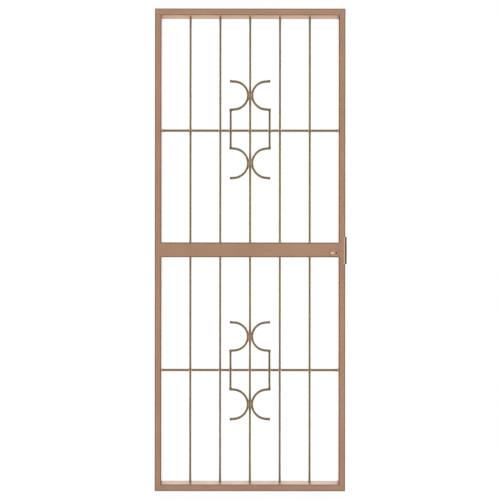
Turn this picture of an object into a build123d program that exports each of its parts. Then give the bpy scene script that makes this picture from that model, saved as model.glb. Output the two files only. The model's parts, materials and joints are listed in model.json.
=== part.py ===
from build123d import *
import os
from math import cos, radians, sin, tan

# A hinged wrought-steel security gate leaf with its lock and wall hinges.
# +X runs from the hinge side to the lock side, +Y away from the viewer, +Z up.
# The origin is the centre of the lower hinge plate's face against the wall.

# Driving dimensions in millimetres
GATE_WIDTH = 770.0
GATE_HEIGHT = 1950.0
TUBE_SIDE = 27.0
TUBE_WALL = 1.6
TUBE_CORNER = 2.0
LOCK_RAIL_HEIGHT = 60.0

ROD_DIAMETER = 10.0
BAR_COUNT = 5

# Scroll ornament, measured from the centre bar and the middle of its panel
TOP_SCROLL_RADIUS = 56.5
BOTTOM_SCROLL_RADIUS = 59.5
SCROLL_RISE = 137.5
SCROLL_REACH = 79.0
SCROLL_SLOPE = 5.0
SCROLL_SEAT = 1.0
FREE_TAIL_REACH = 81.5
CROSS_BAR_DROP = 2.0

# Hinges
WALL_GAP = 7.0
HINGE_INSET = 250.0
HINGE_AXIS_OFFSET = 18.0
BARREL_DIAMETER = 16.0
BARREL_LENGTH = 50.0
FOOT_THICKNESS = 5.0
FOOT_WIDTH = 16.0
NECK_WIDTH = 11.0
PIN_DIAMETER = 10.0
PIN_HEAD_DIAMETER = 14.0
PIN_HEAD_HEIGHT = 3.0
PLATE_THICKNESS = 4.0
PLATE_DEPTH = 44.0
PLATE_HEIGHT = 84.0
PLATE_CORNER = 5.0
PLATE_SETBACK = 5.0
LUG_THICKNESS = 6.0
SCREW_HOLE_DIAMETER = 6.5
SCREW_SPACING = 60.0
SCREW_DEPTH = 8.0

# Lock
LOCK_DROP = 12.0
PLUG_INSET = 10.0
CYLINDER_HEAD = 17.0
CYLINDER_TAIL = 10.0
CYLINDER_SPAN = 33.0
CYLINDER_PROUD = 1.5
PLUG_DIAMETER = 11.0
KEYWAY_WIDTH = 2.6
KEYWAY_HEIGHT = 8.0
KEYWAY_DEPTH = 9.0
ESCUTCHEON_LENGTH = 41.0
ESCUTCHEON_HEIGHT = 25.0
ESCUTCHEON_THICKNESS = 2.0
CASE_LENGTH = 72.0
CASE_HEIGHT = 50.0
CASE_THICKNESS = 18.0
CASE_WALL = 1.5
FOREND_HEIGHT = 109.0
FOREND_DROP = 2.3
FOREND_THICKNESS = 5.2
FOREND_LIP = 6.0
FOREND_LIP_THICKNESS = 1.0
FOREND_NOSE = 2.5
BOLT_HEIGHT = 26.0
BOLT_THICKNESS = 12.0
BOLT_LENGTH = 40.0

# Clearances
RUNNING_FIT = 0.05
END_PLAY = 0.4
FITTED_GAP = 0.3

# Leaf limits in the part's frame
LEAF_LEFT = WALL_GAP
LEAF_RIGHT = LEAF_LEFT + GATE_WIDTH
LEAF_MIDDLE = LEAF_LEFT + GATE_WIDTH / 2
LEAF_BOTTOM = -HINGE_INSET
LEAF_TOP = LEAF_BOTTOM + GATE_HEIGHT
LEAF_BACK = -PLATE_DEPTH / 2 - PLATE_SETBACK
LEAF_FRONT = LEAF_BACK - TUBE_SIDE
TUBE_MIDDLE = LEAF_FRONT + TUBE_SIDE / 2

# The bars stand in front of the cross bars, and they touch in the frame's middle plane
ROD_RADIUS = ROD_DIAMETER / 2
BAR_Y = TUBE_MIDDLE - ROD_RADIUS
CROSS_BAR_Y = TUBE_MIDDLE + ROD_RADIUS

CLEAR_WIDTH = GATE_WIDTH - 2 * TUBE_SIDE
BAR_PITCH = (CLEAR_WIDTH + ROD_DIAMETER) / (BAR_COUNT + 1)
FIRST_BAR_X = LEAF_MIDDLE - BAR_PITCH * (BAR_COUNT - 1) / 2

LOCK_RAIL_Z = (LEAF_BOTTOM + LEAF_TOP) / 2
LOCK_RAIL_UNDER = LOCK_RAIL_Z - LOCK_RAIL_HEIGHT / 2
LOCK_RAIL_OVER = LOCK_RAIL_Z + LOCK_RAIL_HEIGHT / 2
PANELS = {
    "upper": (LOCK_RAIL_OVER, LEAF_TOP - TUBE_SIDE),
    "lower": (LEAF_BOTTOM + TUBE_SIDE, LOCK_RAIL_UNDER),
}

HINGE_AXIS_X = HINGE_AXIS_OFFSET
HINGE_AXIS_Y = LEAF_BACK + FOOT_THICKNESS + BARREL_DIAMETER / 2
HINGES = {"upper": LEAF_TOP - HINGE_INSET, "lower": 0.0}

LOCK_Z = LOCK_RAIL_Z - LOCK_DROP
PLUG_X = LEAF_RIGHT - TUBE_SIDE - PLUG_INSET


def box_between(x_range, y_range, z_range):
    """A block given by its limits along X, Y and Z."""
    size = [high - low for low, high in (x_range, y_range, z_range)]
    middle = [(low + high) / 2 for low, high in (x_range, y_range, z_range)]
    return Pos(*middle) * Box(*size)


def hollow_section(width, height):
    """The outline of a rectangular tube with rounded corners."""
    outer = RectangleRounded(width, height, TUBE_CORNER)
    inner_corner = max(TUBE_CORNER - TUBE_WALL, 0.3)
    inner = RectangleRounded(width - 2 * TUBE_WALL, height - 2 * TUBE_WALL, inner_corner)
    return outer - inner


def mitred_tube(length):
    """A square tube along X, centred, whose ends are mitred towards +Z (the inner side)."""
    tube = extrude(Plane.YZ * hollow_section(TUBE_SIDE, TUBE_SIDE), length / 2, both=True)
    long_side = length / 2
    short_side = long_side - TUBE_SIDE
    trapezium = Polyline(
        (-long_side, -TUBE_SIDE / 2),
        (long_side, -TUBE_SIDE / 2),
        (short_side, TUBE_SIDE / 2),
        (-short_side, TUBE_SIDE / 2),
        close=True,
    )
    keep = extrude(Plane.XZ * make_face(trapezium), TUBE_SIDE, both=True)
    return tube & keep


def frame_tubes():
    """The four mitred tubes of the outer frame."""
    middle_z = (LEAF_BOTTOM + LEAF_TOP) / 2
    half = TUBE_SIDE / 2
    rail = mitred_tube(GATE_WIDTH)
    stile = mitred_tube(GATE_HEIGHT)
    upright = Pos(LEAF_LEFT + half, TUBE_MIDDLE, middle_z) * Rot(0, 90, 0) * stile
    lock_side = Pos(LEAF_RIGHT - half, TUBE_MIDDLE, middle_z) * Rot(0, -90, 0) * stile
    return {
        "bottom_rail": Pos(LEAF_MIDDLE, TUBE_MIDDLE, LEAF_BOTTOM + half) * rail,
        "top_rail": Pos(LEAF_MIDDLE, TUBE_MIDDLE, LEAF_TOP - half) * Rot(180, 0, 0) * rail,
        "hinge_stile": upright,
        "lock_stile": lock_side - lock_mortise(),
    }


def bars_and_cross_bar(panel):
    """The upright bars of one panel and the cross bar behind them."""
    bottom, top = PANELS[panel]
    middle = (bottom + top) / 2
    rods = {}
    for number in range(BAR_COUNT):
        bar = Cylinder(ROD_RADIUS, top - bottom)
        place = Pos(FIRST_BAR_X + number * BAR_PITCH, BAR_Y, middle)
        rods[f"{panel}_bar_{number + 1}"] = place * bar
    cross_bar = Rot(0, 90, 0) * Cylinder(ROD_RADIUS, CLEAR_WIDTH)
    place = Pos(LEAF_MIDDLE, CROSS_BAR_Y, middle - CROSS_BAR_DROP)
    rods[f"{panel}_cross_bar"] = place * cross_bar
    return rods


def bend_end(radius):
    """Where one scroll's bend becomes its tail, right of the centre bar and above the bend's middle."""
    bend_x = ROD_DIAMETER - SCROLL_SEAT + radius
    turn = radians(90 - SCROLL_SLOPE)
    return bend_x - radius * cos(turn), radius * sin(turn)


def tail_height(radius, x):
    """How far a scroll's tail is from the height of the bend's middle, at one distance from the bar."""
    start_x, start_z = bend_end(radius)
    return start_z + (x - start_x) * tan(radians(SCROLL_SLOPE))


def scroll(radius):
    """A rod bent to a half ring with two nearly level tails, in the XZ plane.

    The bend is seated on the centre bar at height 0. The free tail is the upper one, and the
    lower tail is longer, to cover the end of the short rod.
    """
    start_x, start_z = bend_end(radius)
    inner_x = SCROLL_REACH + ROD_RADIUS
    free_end = (FREE_TAIL_REACH, 0, tail_height(radius, FREE_TAIL_REACH))
    inner_end = (inner_x, 0, -tail_height(radius, inner_x))
    bend_middle = (ROD_DIAMETER - SCROLL_SEAT, 0, 0)
    path = Polyline(free_end, (start_x, 0, start_z))
    path += ThreePointArc((start_x, 0, start_z), bend_middle, (start_x, 0, -start_z))
    path += Polyline((start_x, 0, -start_z), inner_end)
    section = Plane(origin=path @ 0, z_dir=path % 0) * Circle(ROD_RADIUS)
    centre_bar = Cylinder(ROD_RADIUS, 2 * radius)
    return sweep(section, path=path) - centre_bar


def scroll_rod():
    """The short upright rod between two scrolls, its ends coped to their tails."""
    top = SCROLL_RISE - tail_height(TOP_SCROLL_RADIUS, SCROLL_REACH)
    bottom = tail_height(BOTTOM_SCROLL_RADIUS, SCROLL_REACH) - SCROLL_RISE
    trim = ROD_RADIUS * tan(radians(SCROLL_SLOPE))
    rod = Pos(0, 0, (top + bottom) / 2) * Cylinder(ROD_RADIUS, top - bottom - 2 * trim)
    for side, meeting in ((1, top), (-1, bottom)):
        tail = Rot(0, 90 + side * SCROLL_SLOPE, 0) * Cylinder(ROD_RADIUS, 4 * ROD_DIAMETER)
        rod -= Pos(0, 0, meeting) * tail
    return rod


def ornament(panel):
    """Four scrolls and two short rods around the middle of one panel."""
    bottom, top = PANELS[panel]
    centre = Pos(LEAF_MIDDLE, BAR_Y, (bottom + top) / 2)
    right_side = {
        "scroll_top": Pos(0, 0, SCROLL_RISE) * scroll(TOP_SCROLL_RADIUS),
        "scroll_bottom": Pos(0, 0, -SCROLL_RISE) * Rot(180, 0, 0) * scroll(BOTTOM_SCROLL_RADIUS),
        "scroll_rod": Pos(SCROLL_REACH, 0, 0) * scroll_rod(),
    }
    pieces = {}
    for name, piece in right_side.items():
        pieces[f"{panel}_{name}_right"] = centre * piece
        pieces[f"{panel}_{name}_left"] = centre * mirror(piece, about=Plane.YZ)
    return pieces


def lock_mortise():
    """The slot through the lock stile that the lock case fills."""
    half_thickness = CASE_THICKNESS / 2 + FITTED_GAP
    half_height = CASE_HEIGHT / 2 + FITTED_GAP
    return box_between(
        (LEAF_RIGHT - TUBE_SIDE - 1, LEAF_RIGHT + 1),
        (TUBE_MIDDLE - half_thickness, TUBE_MIDDLE + half_thickness),
        (LOCK_RAIL_Z - half_height, LOCK_RAIL_Z + half_height),
    )


def cylinder_outline(gap=0.0):
    """The profile cylinder's outline lying on its side, the tail towards the hinges."""
    head = Circle(CYLINDER_HEAD / 2 + gap)
    tail_run = CYLINDER_SPAN - CYLINDER_HEAD / 2 - CYLINDER_TAIL / 2
    tail = Pos(-tail_run / 2, 0) * Rectangle(tail_run, CYLINDER_TAIL + 2 * gap)
    tail_end = Pos(-tail_run, 0) * Circle(CYLINDER_TAIL / 2 + gap)
    return head + tail + tail_end


def across(outline, y_low, y_high):
    """An outline of the lock extruded through the gate between two depths."""
    place = Plane(origin=(PLUG_X, y_low, LOCK_Z), x_dir=(1, 0, 0), z_dir=(0, -1, 0))
    return extrude(place * outline, -(y_high - y_low))


def lock_rail():
    """The wide hollow rail across the middle, cut for the lock's cylinder."""
    section = Plane.YZ * hollow_section(TUBE_SIDE, LOCK_RAIL_HEIGHT)
    rail = Pos(LEAF_MIDDLE, TUBE_MIDDLE, LOCK_RAIL_Z) * extrude(section, CLEAR_WIDTH / 2, both=True)
    return rail - across(cylinder_outline(FITTED_GAP), LEAF_FRONT - 1, LEAF_BACK + 1)


def lock():
    """The lock: case, bolt, forend, cylinder with its plug, and an escutcheon on each face."""
    case_left = LEAF_RIGHT - CASE_LENGTH
    case = box_between(
        (case_left, LEAF_RIGHT),
        (TUBE_MIDDLE - CASE_THICKNESS / 2, TUBE_MIDDLE + CASE_THICKNESS / 2),
        (LOCK_RAIL_Z - CASE_HEIGHT / 2, LOCK_RAIL_Z + CASE_HEIGHT / 2),
    )
    inner = CASE_THICKNESS / 2 - CASE_WALL
    case -= box_between(
        (case_left + CASE_WALL, LEAF_RIGHT + 1),
        (TUBE_MIDDLE - inner, TUBE_MIDDLE + inner),
        (LOCK_RAIL_Z - CASE_HEIGHT / 2 + CASE_WALL, LOCK_RAIL_Z + CASE_HEIGHT / 2 - CASE_WALL),
    )
    case -= across(cylinder_outline(FITTED_GAP), LEAF_FRONT, LEAF_BACK)

    bolt_z = LOCK_RAIL_Z + CASE_HEIGHT / 2 - CASE_WALL - FITTED_GAP - BOLT_HEIGHT / 2
    face = LEAF_RIGHT + FOREND_THICKNESS
    bolt = box_between(
        (face - BOLT_LENGTH, face),
        (TUBE_MIDDLE - BOLT_THICKNESS / 2, TUBE_MIDDLE + BOLT_THICKNESS / 2),
        (bolt_z - BOLT_HEIGHT / 2, bolt_z + BOLT_HEIGHT / 2),
    )

    bolt_slot = box_between(
        (LEAF_RIGHT - 1, face + 1),
        (TUBE_MIDDLE - BOLT_THICKNESS / 2 - FITTED_GAP, TUBE_MIDDLE + BOLT_THICKNESS / 2 + FITTED_GAP),
        (bolt_z - BOLT_HEIGHT / 2 - FITTED_GAP, bolt_z + BOLT_HEIGHT / 2 + FITTED_GAP),
    )

    front = LEAF_FRONT - ESCUTCHEON_THICKNESS
    back = LEAF_BACK + ESCUTCHEON_THICKNESS
    cylinder_front = front - CYLINDER_PROUD
    cylinder_back = back + CYLINDER_PROUD
    body = across(cylinder_outline(), cylinder_front, cylinder_back)
    body -= across(Circle(PLUG_DIAMETER / 2 + RUNNING_FIT), cylinder_front - 1, cylinder_back + 1)
    plug = across(Circle(PLUG_DIAMETER / 2), cylinder_front, cylinder_back)
    keyway = Rectangle(KEYWAY_WIDTH, KEYWAY_HEIGHT)
    plug -= across(keyway, cylinder_front - 1, cylinder_front + KEYWAY_DEPTH)
    plug -= across(keyway, cylinder_back - KEYWAY_DEPTH, cylinder_back + 1)

    plate_shift = -(CYLINDER_SPAN - CYLINDER_HEAD) / 2
    plate = Pos(plate_shift, 0) * SlotOverall(ESCUTCHEON_LENGTH, ESCUTCHEON_HEIGHT)
    plate -= cylinder_outline(FITTED_GAP)
    return {
        "lock_case": case,
        "lock_bolt": bolt,
        "lock_forend": forend() - bolt_slot,
        "lock_cylinder": body,
        "lock_plug": plug,
        "front_escutcheon": across(plate, front, LEAF_FRONT),
        "rear_escutcheon": across(plate, LEAF_BACK, back),
    }


def forend():
    """The brass cap on the lock stile's outer side, with lips over both its corners."""
    half_depth = TUBE_SIDE / 2 + FOREND_LIP_THICKNESS
    width = FOREND_LIP + FOREND_THICKNESS
    centre_x = LEAF_RIGHT + FOREND_THICKNESS - width / 2
    outline = Pos(centre_x, TUBE_MIDDLE) * Rectangle(width, 2 * half_depth)
    nose = outline.vertices().sort_by(Axis.X)[-2:]
    outline = fillet(nose, FOREND_NOSE)
    tube = Pos(LEAF_RIGHT - TUBE_SIDE / 2, TUBE_MIDDLE) * RectangleRounded(TUBE_SIDE, TUBE_SIDE, TUBE_CORNER)
    place = Pos(0, 0, LOCK_RAIL_Z - FOREND_DROP - FOREND_HEIGHT / 2)
    return place * extrude(outline - tube, FOREND_HEIGHT)


def hinge_barrel(z):
    """The leaf's half of a hinge: a barrel on a neck and a foot behind the hinge stile."""
    half = BARREL_LENGTH / 2
    barrel = Pos(HINGE_AXIS_X, HINGE_AXIS_Y, z) * Cylinder(BARREL_DIAMETER / 2, BARREL_LENGTH)
    neck = box_between(
        (HINGE_AXIS_X - NECK_WIDTH / 2, HINGE_AXIS_X + NECK_WIDTH / 2),
        (LEAF_BACK, HINGE_AXIS_Y),
        (z - half, z + half),
    )
    foot = box_between(
        (HINGE_AXIS_X - FOOT_WIDTH / 2, HINGE_AXIS_X + FOOT_WIDTH / 2),
        (LEAF_BACK, LEAF_BACK + FOOT_THICKNESS),
        (z - half, z + half),
    )
    bore = Pos(HINGE_AXIS_X, HINGE_AXIS_Y, z) * Cylinder(PIN_DIAMETER / 2 + RUNNING_FIT, 2 * BARREL_LENGTH)
    return barrel + neck + foot - bore


def hinge_bracket(z):
    """The wall's half of a hinge: a screwed plate with a lug above and below the barrel."""
    plate_outline = Plane.YZ * RectangleRounded(PLATE_DEPTH, PLATE_HEIGHT, PLATE_CORNER)
    bracket = Pos(0, 0, z) * extrude(plate_outline, PLATE_THICKNESS)
    lug_width = BARREL_DIAMETER
    lug_run = HINGE_AXIS_X - PLATE_THICKNESS / 2
    lug_outline = Circle(lug_width / 2) + Pos(-lug_run / 2, 0) * Rectangle(lug_run, lug_width)
    lug_inner = BARREL_LENGTH / 2 + END_PLAY
    for low in (z + lug_inner, z - lug_inner - LUG_THICKNESS):
        lug = Pos(HINGE_AXIS_X, HINGE_AXIS_Y, low) * extrude(lug_outline, LUG_THICKNESS)
        bracket += lug
    bracket -= Pos(HINGE_AXIS_X, HINGE_AXIS_Y, z) * Cylinder(PIN_DIAMETER / 2 + RUNNING_FIT, PLATE_HEIGHT)
    for side in (-1, 1):
        hole = Rot(0, 90, 0) * Cylinder(SCREW_HOLE_DIAMETER / 2, 4 * PLATE_THICKNESS)
        bracket -= Pos(0, SCREW_DEPTH, z + side * SCREW_SPACING / 2) * hole
    return bracket


def hinge_pin(z):
    """The pin through both lugs, with a riveted head beyond each."""
    grip = BARREL_LENGTH / 2 + END_PLAY + LUG_THICKNESS
    pin = Cylinder(PIN_DIAMETER / 2, 2 * grip)
    for side in (-1, 1):
        head = Cylinder(PIN_HEAD_DIAMETER / 2, PIN_HEAD_HEIGHT)
        outer_edge = head.edges().filter_by(GeomType.CIRCLE).sort_by(Axis.Z)[-1]
        head = chamfer(outer_edge, PIN_HEAD_HEIGHT / 3)
        if side < 0:
            head = Rot(180, 0, 0) * head
        pin += Pos(0, 0, side * (grip + PIN_HEAD_HEIGHT / 2)) * head
    return Pos(HINGE_AXIS_X, HINGE_AXIS_Y, z) * pin


def all_parts():
    """Every piece of the gate by its node name."""
    parts = frame_tubes()
    parts["lock_rail"] = lock_rail()
    for panel in PANELS:
        parts |= bars_and_cross_bar(panel)
        parts |= ornament(panel)
    parts |= lock()
    for level, z in HINGES.items():
        parts[f"{level}_hinge_barrel"] = hinge_barrel(z)
        parts[f"{level}_hinge_bracket"] = hinge_bracket(z)
        parts[f"{level}_hinge_pin"] = hinge_pin(z)
    return parts


os.makedirs("parts", exist_ok=True)
for name, shape in all_parts().items():
    export_step(shape, f"parts/{name}.step")
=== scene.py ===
# %% [markdown]
# # A painted steel security gate
#
# The object is one swinging gate leaf: a frame of square tube, ten upright round bars, two cross
# bars, two ornaments of bent rod, and a lock in a wide rail across the middle. Its shapes come
# from a finished CAD model. Blender's work here is the camera, the light, the paint and the
# metals, and the small things a welder and a painter leave behind.

# %% Load the frame
import json
import math

import bmesh
import bpy
import numpy as np
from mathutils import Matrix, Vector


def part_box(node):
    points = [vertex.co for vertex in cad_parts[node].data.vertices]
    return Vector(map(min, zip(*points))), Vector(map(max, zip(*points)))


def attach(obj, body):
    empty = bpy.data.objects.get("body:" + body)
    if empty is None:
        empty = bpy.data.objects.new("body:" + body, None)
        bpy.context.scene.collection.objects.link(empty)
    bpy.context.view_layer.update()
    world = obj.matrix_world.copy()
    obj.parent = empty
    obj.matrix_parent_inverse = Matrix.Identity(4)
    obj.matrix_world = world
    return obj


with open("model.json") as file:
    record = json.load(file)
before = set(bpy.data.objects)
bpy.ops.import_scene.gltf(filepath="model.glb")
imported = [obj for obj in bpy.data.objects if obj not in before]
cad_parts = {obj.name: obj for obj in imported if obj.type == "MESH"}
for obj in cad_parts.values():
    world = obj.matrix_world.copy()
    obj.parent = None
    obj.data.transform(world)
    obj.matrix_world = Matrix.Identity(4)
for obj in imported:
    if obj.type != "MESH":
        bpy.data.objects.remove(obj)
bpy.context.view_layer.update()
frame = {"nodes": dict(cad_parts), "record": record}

# %% [markdown]
# ## Measures
#
# Everything below is placed from the CAD nodes' own boxes, so nothing has to be fitted by eye.
# Reading a box once and giving its numbers plain names keeps the later cells short.

# %% Measures read from the CAD nodes
MM = 0.001


def limits(node):
    """The lowest and highest corner of a CAD node, as two numpy arrays in metres."""
    low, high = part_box(node)
    return np.array(low), np.array(high)


stile_low, stile_high = limits("hinge_stile")
rail_low, rail_high = limits("lock_rail")
GATE_LEFT, GATE_RIGHT = stile_low[0], limits("lock_stile")[1][0]
GATE_BOTTOM, GATE_TOP = stile_low[2], stile_high[2]
FACE_Y, BACK_Y = stile_low[1], stile_high[1]
MIDDLE_X = (GATE_LEFT + GATE_RIGHT) / 2
MIDDLE_Z = (GATE_BOTTOM + GATE_TOP) / 2
print("gate", GATE_RIGHT - GATE_LEFT, "by", GATE_TOP - GATE_BOTTOM, "m")

# %% [markdown]
# ## Camera
#
# The photograph looks straight at the gate, so its uprights stay parallel. One clue fixes the
# distance: as much shows of the top rail's underside as of the bottom rail's upper side, so the
# lens stood level with the gate's middle, and their far edges are drawn 1.8 per cent nearer to
# that middle than the near ones. The tube is 27 mm deep, so the lens was 1.45 m away.

# %% Camera at the photograph's place
PICTURE_SIZE = 500
PIXELS_PER_METRE = 247.75
LEAF_CENTRE_PIXEL = (250.04, 249.87)
CAMERA_DISTANCE = 1.45
PICTURE_ROLL = math.radians(0.05)
SENSOR_WIDTH = 36.0

focal_pixels = PIXELS_PER_METRE * CAMERA_DISTANCE
camera_data = bpy.data.cameras.new("photo_camera")
camera_data.sensor_width = SENSOR_WIDTH
camera_data.lens = focal_pixels / PICTURE_SIZE * SENSOR_WIDTH
camera = bpy.data.objects.new("photo_camera", camera_data)
camera_x = MIDDLE_X - (LEAF_CENTRE_PIXEL[0] - PICTURE_SIZE / 2) / PIXELS_PER_METRE
camera_z = MIDDLE_Z + (LEAF_CENTRE_PIXEL[1] - PICTURE_SIZE / 2) / PIXELS_PER_METRE
camera.location = (camera_x, FACE_Y - CAMERA_DISTANCE, camera_z)
camera.rotation_euler = (math.radians(90), -PICTURE_ROLL, 0)
bpy.context.scene.collection.objects.link(camera)
bpy.context.scene.camera = camera
above_foot = camera_z - GATE_BOTTOM
print("lens", round(camera_data.lens, 2), "mm, height above the gate's foot", above_foot)

# %% [markdown]
# ## Studio
#
# The picture is a cut-out on pure white, so the camera sees white wherever it misses the gate.
# The paint, though, needs something to reflect. The world is therefore three skies in one,
# chosen by the kind of ray that asks: white for the camera, a soft light for the paint's
# colour, and a shaped room for its gloss. The shaped room has a dim front, a bright back and
# two brighter panels behind the gate on the left and right, which is how a photographer gives
# round bars their pale rims. Above and below it is dim, so level bars come out darker than
# upright ones, as they do in the photograph. The bottom rail's upper side is the palest part
# of the gate, so the light for the paint's colour comes mostly from overhead.

# %% A helper for shader nodes
def place(tree, kind, settings=None, **sockets):
    """One shader node, with its properties set and its sockets filled.

    A socket is named with _ for a space, or by its number as _0, _1. It takes a value, or
    another node's output, which is then linked to it.
    """
    node = tree.nodes.new("ShaderNode" + kind)
    for name, value in (settings or {}).items():
        setattr(node, name, value)
    for name, value in sockets.items():
        by_number = name[1:].isdigit()
        socket = node.inputs[int(name[1:]) if by_number else name.replace("_", " ")]
        if isinstance(value, bpy.types.NodeSocket):
            tree.links.new(value, socket)
        else:
            socket.default_value = value
    return node


def calculate(tree, operation, *values):
    """The result of one Math node."""
    sockets = {f"_{number}": value for number, value in enumerate(values)}
    return place(tree, "Math", {"operation": operation}, **sockets).outputs[0]


def combine(tree, operation, *vectors):
    """The result of one Vector Math node, which works on x, y and z alike."""
    sockets = {f"_{number}": vector for number, vector in enumerate(vectors)}
    return place(tree, "VectorMath", {"operation": operation}, **sockets).outputs[0]


def ramp(tree, value, low, high, at_low=0.0, at_high=1.0):
    """A soft S-shaped step from one level to another as the value passes two limits."""
    ends = {"From_Min": low, "From_Max": high, "To_Min": at_low, "To_Max": at_high}
    step = place(tree, "MapRange", {"interpolation_type": "SMOOTHSTEP"}, Value=value, **ends)
    return step.outputs[0]


# %% The room as gloss sees it
bpy.context.scene.view_settings.view_transform = "Standard"

# Strengths of the light in front and behind, what a panel adds, and the share left overhead
# and underneath.
FRONT_GLOSS, BACK_GLOSS, PANEL_GLOSS, LEVEL_GLOSS = 0.5, 1.8, 2.8, 0.6
# Where each of these steps starts and ends, along a direction's x, y or z from -1 to 1.
BACK_STEP, LEVEL_STEP = (-0.1, 0.25), (0.3, 0.9)
PANEL_NEAR_STEP, PANEL_FAR_STEP, PANEL_SIDE_STEP = (0.0, 0.2), (0.7, 0.92), (0.3, 0.6)

world = bpy.data.worlds.new("white_studio")
bpy.context.scene.world = world
world.use_nodes = True
sky = world.node_tree
sky.nodes.clear()
direction = place(sky, "TexCoord").outputs["Generated"]
axes = place(sky, "SeparateXYZ", _0=direction)
sideways, depth, height = axes.outputs

room = ramp(sky, depth, *BACK_STEP, FRONT_GLOSS, BACK_GLOSS)
panel_start = ramp(sky, depth, *PANEL_NEAR_STEP)
panel_end = ramp(sky, depth, *PANEL_FAR_STEP, 1.0, 0.0)
panel_side = ramp(sky, calculate(sky, "ABSOLUTE", sideways), *PANEL_SIDE_STEP)
panels = calculate(sky, "MULTIPLY", calculate(sky, "MULTIPLY", panel_start, panel_end), panel_side)
room = calculate(sky, "ADD", room, calculate(sky, "MULTIPLY", panels, PANEL_GLOSS))
level = ramp(sky, calculate(sky, "ABSOLUTE", height), *LEVEL_STEP, 1.0, LEVEL_GLOSS)
gloss_light = calculate(sky, "MULTIPLY", room, level)

# %% Three skies in one world
SIDE_LIGHT, OVERHEAD_LIGHT, OVERHEAD_STEP = 0.25, 2.5, (0.35, 0.85)
soft_box = ramp(sky, height, *OVERHEAD_STEP, SIDE_LIGHT, OVERHEAD_LIGHT)
ray = place(sky, "LightPath")


def sky_of(strength):
    """White light of one strength, which is a number or a node's output."""
    return place(sky, "Background", Color=(1, 1, 1, 1), Strength=strength).outputs[0]


def where(ray_kind, others, chosen):
    """One light for rays of a kind, and another for the rest."""
    return place(sky, "MixShader", _0=ray.outputs[ray_kind], _1=others, _2=chosen).outputs[0]


lit = where("Is Glossy Ray", sky_of(soft_box), sky_of(gloss_light))
seen = where("Is Camera Ray", lit, sky_of(1.0))
place(sky, "OutputWorld", _0=seen)
print("world built from", len(sky.nodes), "nodes")

# %% [markdown]
# The floor is a wide sheet of white card, which throws the overhead light back up on the
# undersides. Lit that way it is brighter than white, and on the picture it would eat into the
# edges of every bar in front of it, because a pixel that is half bar and half glare comes out
# white. So the camera sees it mostly as plain white, with a little of the card for the gate's
# faint shadow. Gloss looks straight through it to the same room below as above, and the bars'
# rims are alike at the top and at the foot.

# %% Floor
FLOOR_GAP, HALF_FLOOR = 25 * MM, 40.0
CARD_TONE, CARD_ROUGHNESS = 0.85, 0.9
SEEN_WHITE = 0.92

floor_z = GATE_BOTTOM - FLOOR_GAP
signs = ((-1, -1), (1, -1), (1, 1), (-1, 1))
corners = [(x * HALF_FLOOR, y * HALF_FLOOR, floor_z) for x, y in signs]
floor_mesh = bpy.data.meshes.new("studio_floor")
floor_mesh.from_pydata(corners, [], [(0, 1, 2, 3)])
floor = bpy.data.objects.new("studio_floor", floor_mesh)
bpy.context.scene.collection.objects.link(floor)
floor_paint = bpy.data.materials.new("studio_floor")
floor_paint.use_nodes = True
floor_tree = floor_paint.node_tree
white_card = floor_tree.nodes["Principled BSDF"]
white_card.inputs["Base Color"].default_value = (CARD_TONE, CARD_TONE, CARD_TONE, 1)
white_card.inputs["Roughness"].default_value = CARD_ROUGHNESS

floor_ray = place(floor_tree, "LightPath").outputs
clear = place(floor_tree, "BsdfTransparent").outputs[0]
white = place(floor_tree, "Emission", Strength=1.0).outputs[0]
whiteness = calculate(floor_tree, "MULTIPLY", floor_ray["Is Camera Ray"], SEEN_WHITE)
card = place(floor_tree, "MixShader", _0=whiteness, _1=white_card.outputs[0], _2=white).outputs[0]
floor_mix = place(floor_tree, "MixShader", _0=floor_ray["Is Glossy Ray"], _1=card, _2=clear)
floor_tree.links.new(floor_mix.outputs[0], floor_tree.nodes["Material Output"].inputs["Surface"])
floor_mesh.materials.append(floor_paint)
print("floor at", floor_z)

# %% [markdown]
# ## Paint
#
# The frame carries a warm mid-brown enamel, sprayed on. Up close it isn't flat: it pools into
# slightly deeper and lighter clouds, it has the fine dimples that painters call orange peel,
# and dust settles in it. All of these recur on every painted piece, so they are one node
# group. Each material gives the group its own two tones. The group hands back a colour, a
# roughness and a height, and the shader itself stays outside it, in the material.

# %% Colour helpers and a maker of node groups
def linear(red, green, blue):
    """An sRGB colour from 0 to 255 as linear light: the 2.4 power curve above its short foot."""
    s = np.array([red, green, blue]) / 255
    return (*np.where(s <= 0.04045, s / 12.92, ((s + 0.055) / 1.055) ** 2.4), 1.0)


def new_group(name, inputs, outputs):
    """An empty node group with named sockets, given as {name: kind}, and its two end nodes."""
    tree = bpy.data.node_groups.new(name, "ShaderNodeTree")
    for in_out, sockets in (("INPUT", inputs), ("OUTPUT", outputs)):
        for socket_name, kind in sockets.items():
            tree.interface.new_socket(socket_name, in_out=in_out, socket_type="NodeSocket" + kind)
    return tree, tree.nodes.new("NodeGroupInput").outputs, tree.nodes.new("NodeGroupOutput").inputs


def blend_colours(tree, factor, first, second):
    """The first colour, turning into the second as the factor goes from 0 to 1."""
    mix = place(tree, "Mix", {"data_type": "RGBA"}, _0=factor, _6=first, _7=second)
    return mix.outputs[2]


# Noise seldom leaves this part of its range from 0 to 1.
MOST_NOISE = (0.3, 0.7)


def noise(tree, vector, scale, detail):
    """Soft random clouds between 0 and 1, with so many per metre."""
    clouds = place(tree, "TexNoise", Vector=vector, Scale=scale, Detail=detail, Roughness=0.5)
    return clouds.outputs[0]


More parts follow.
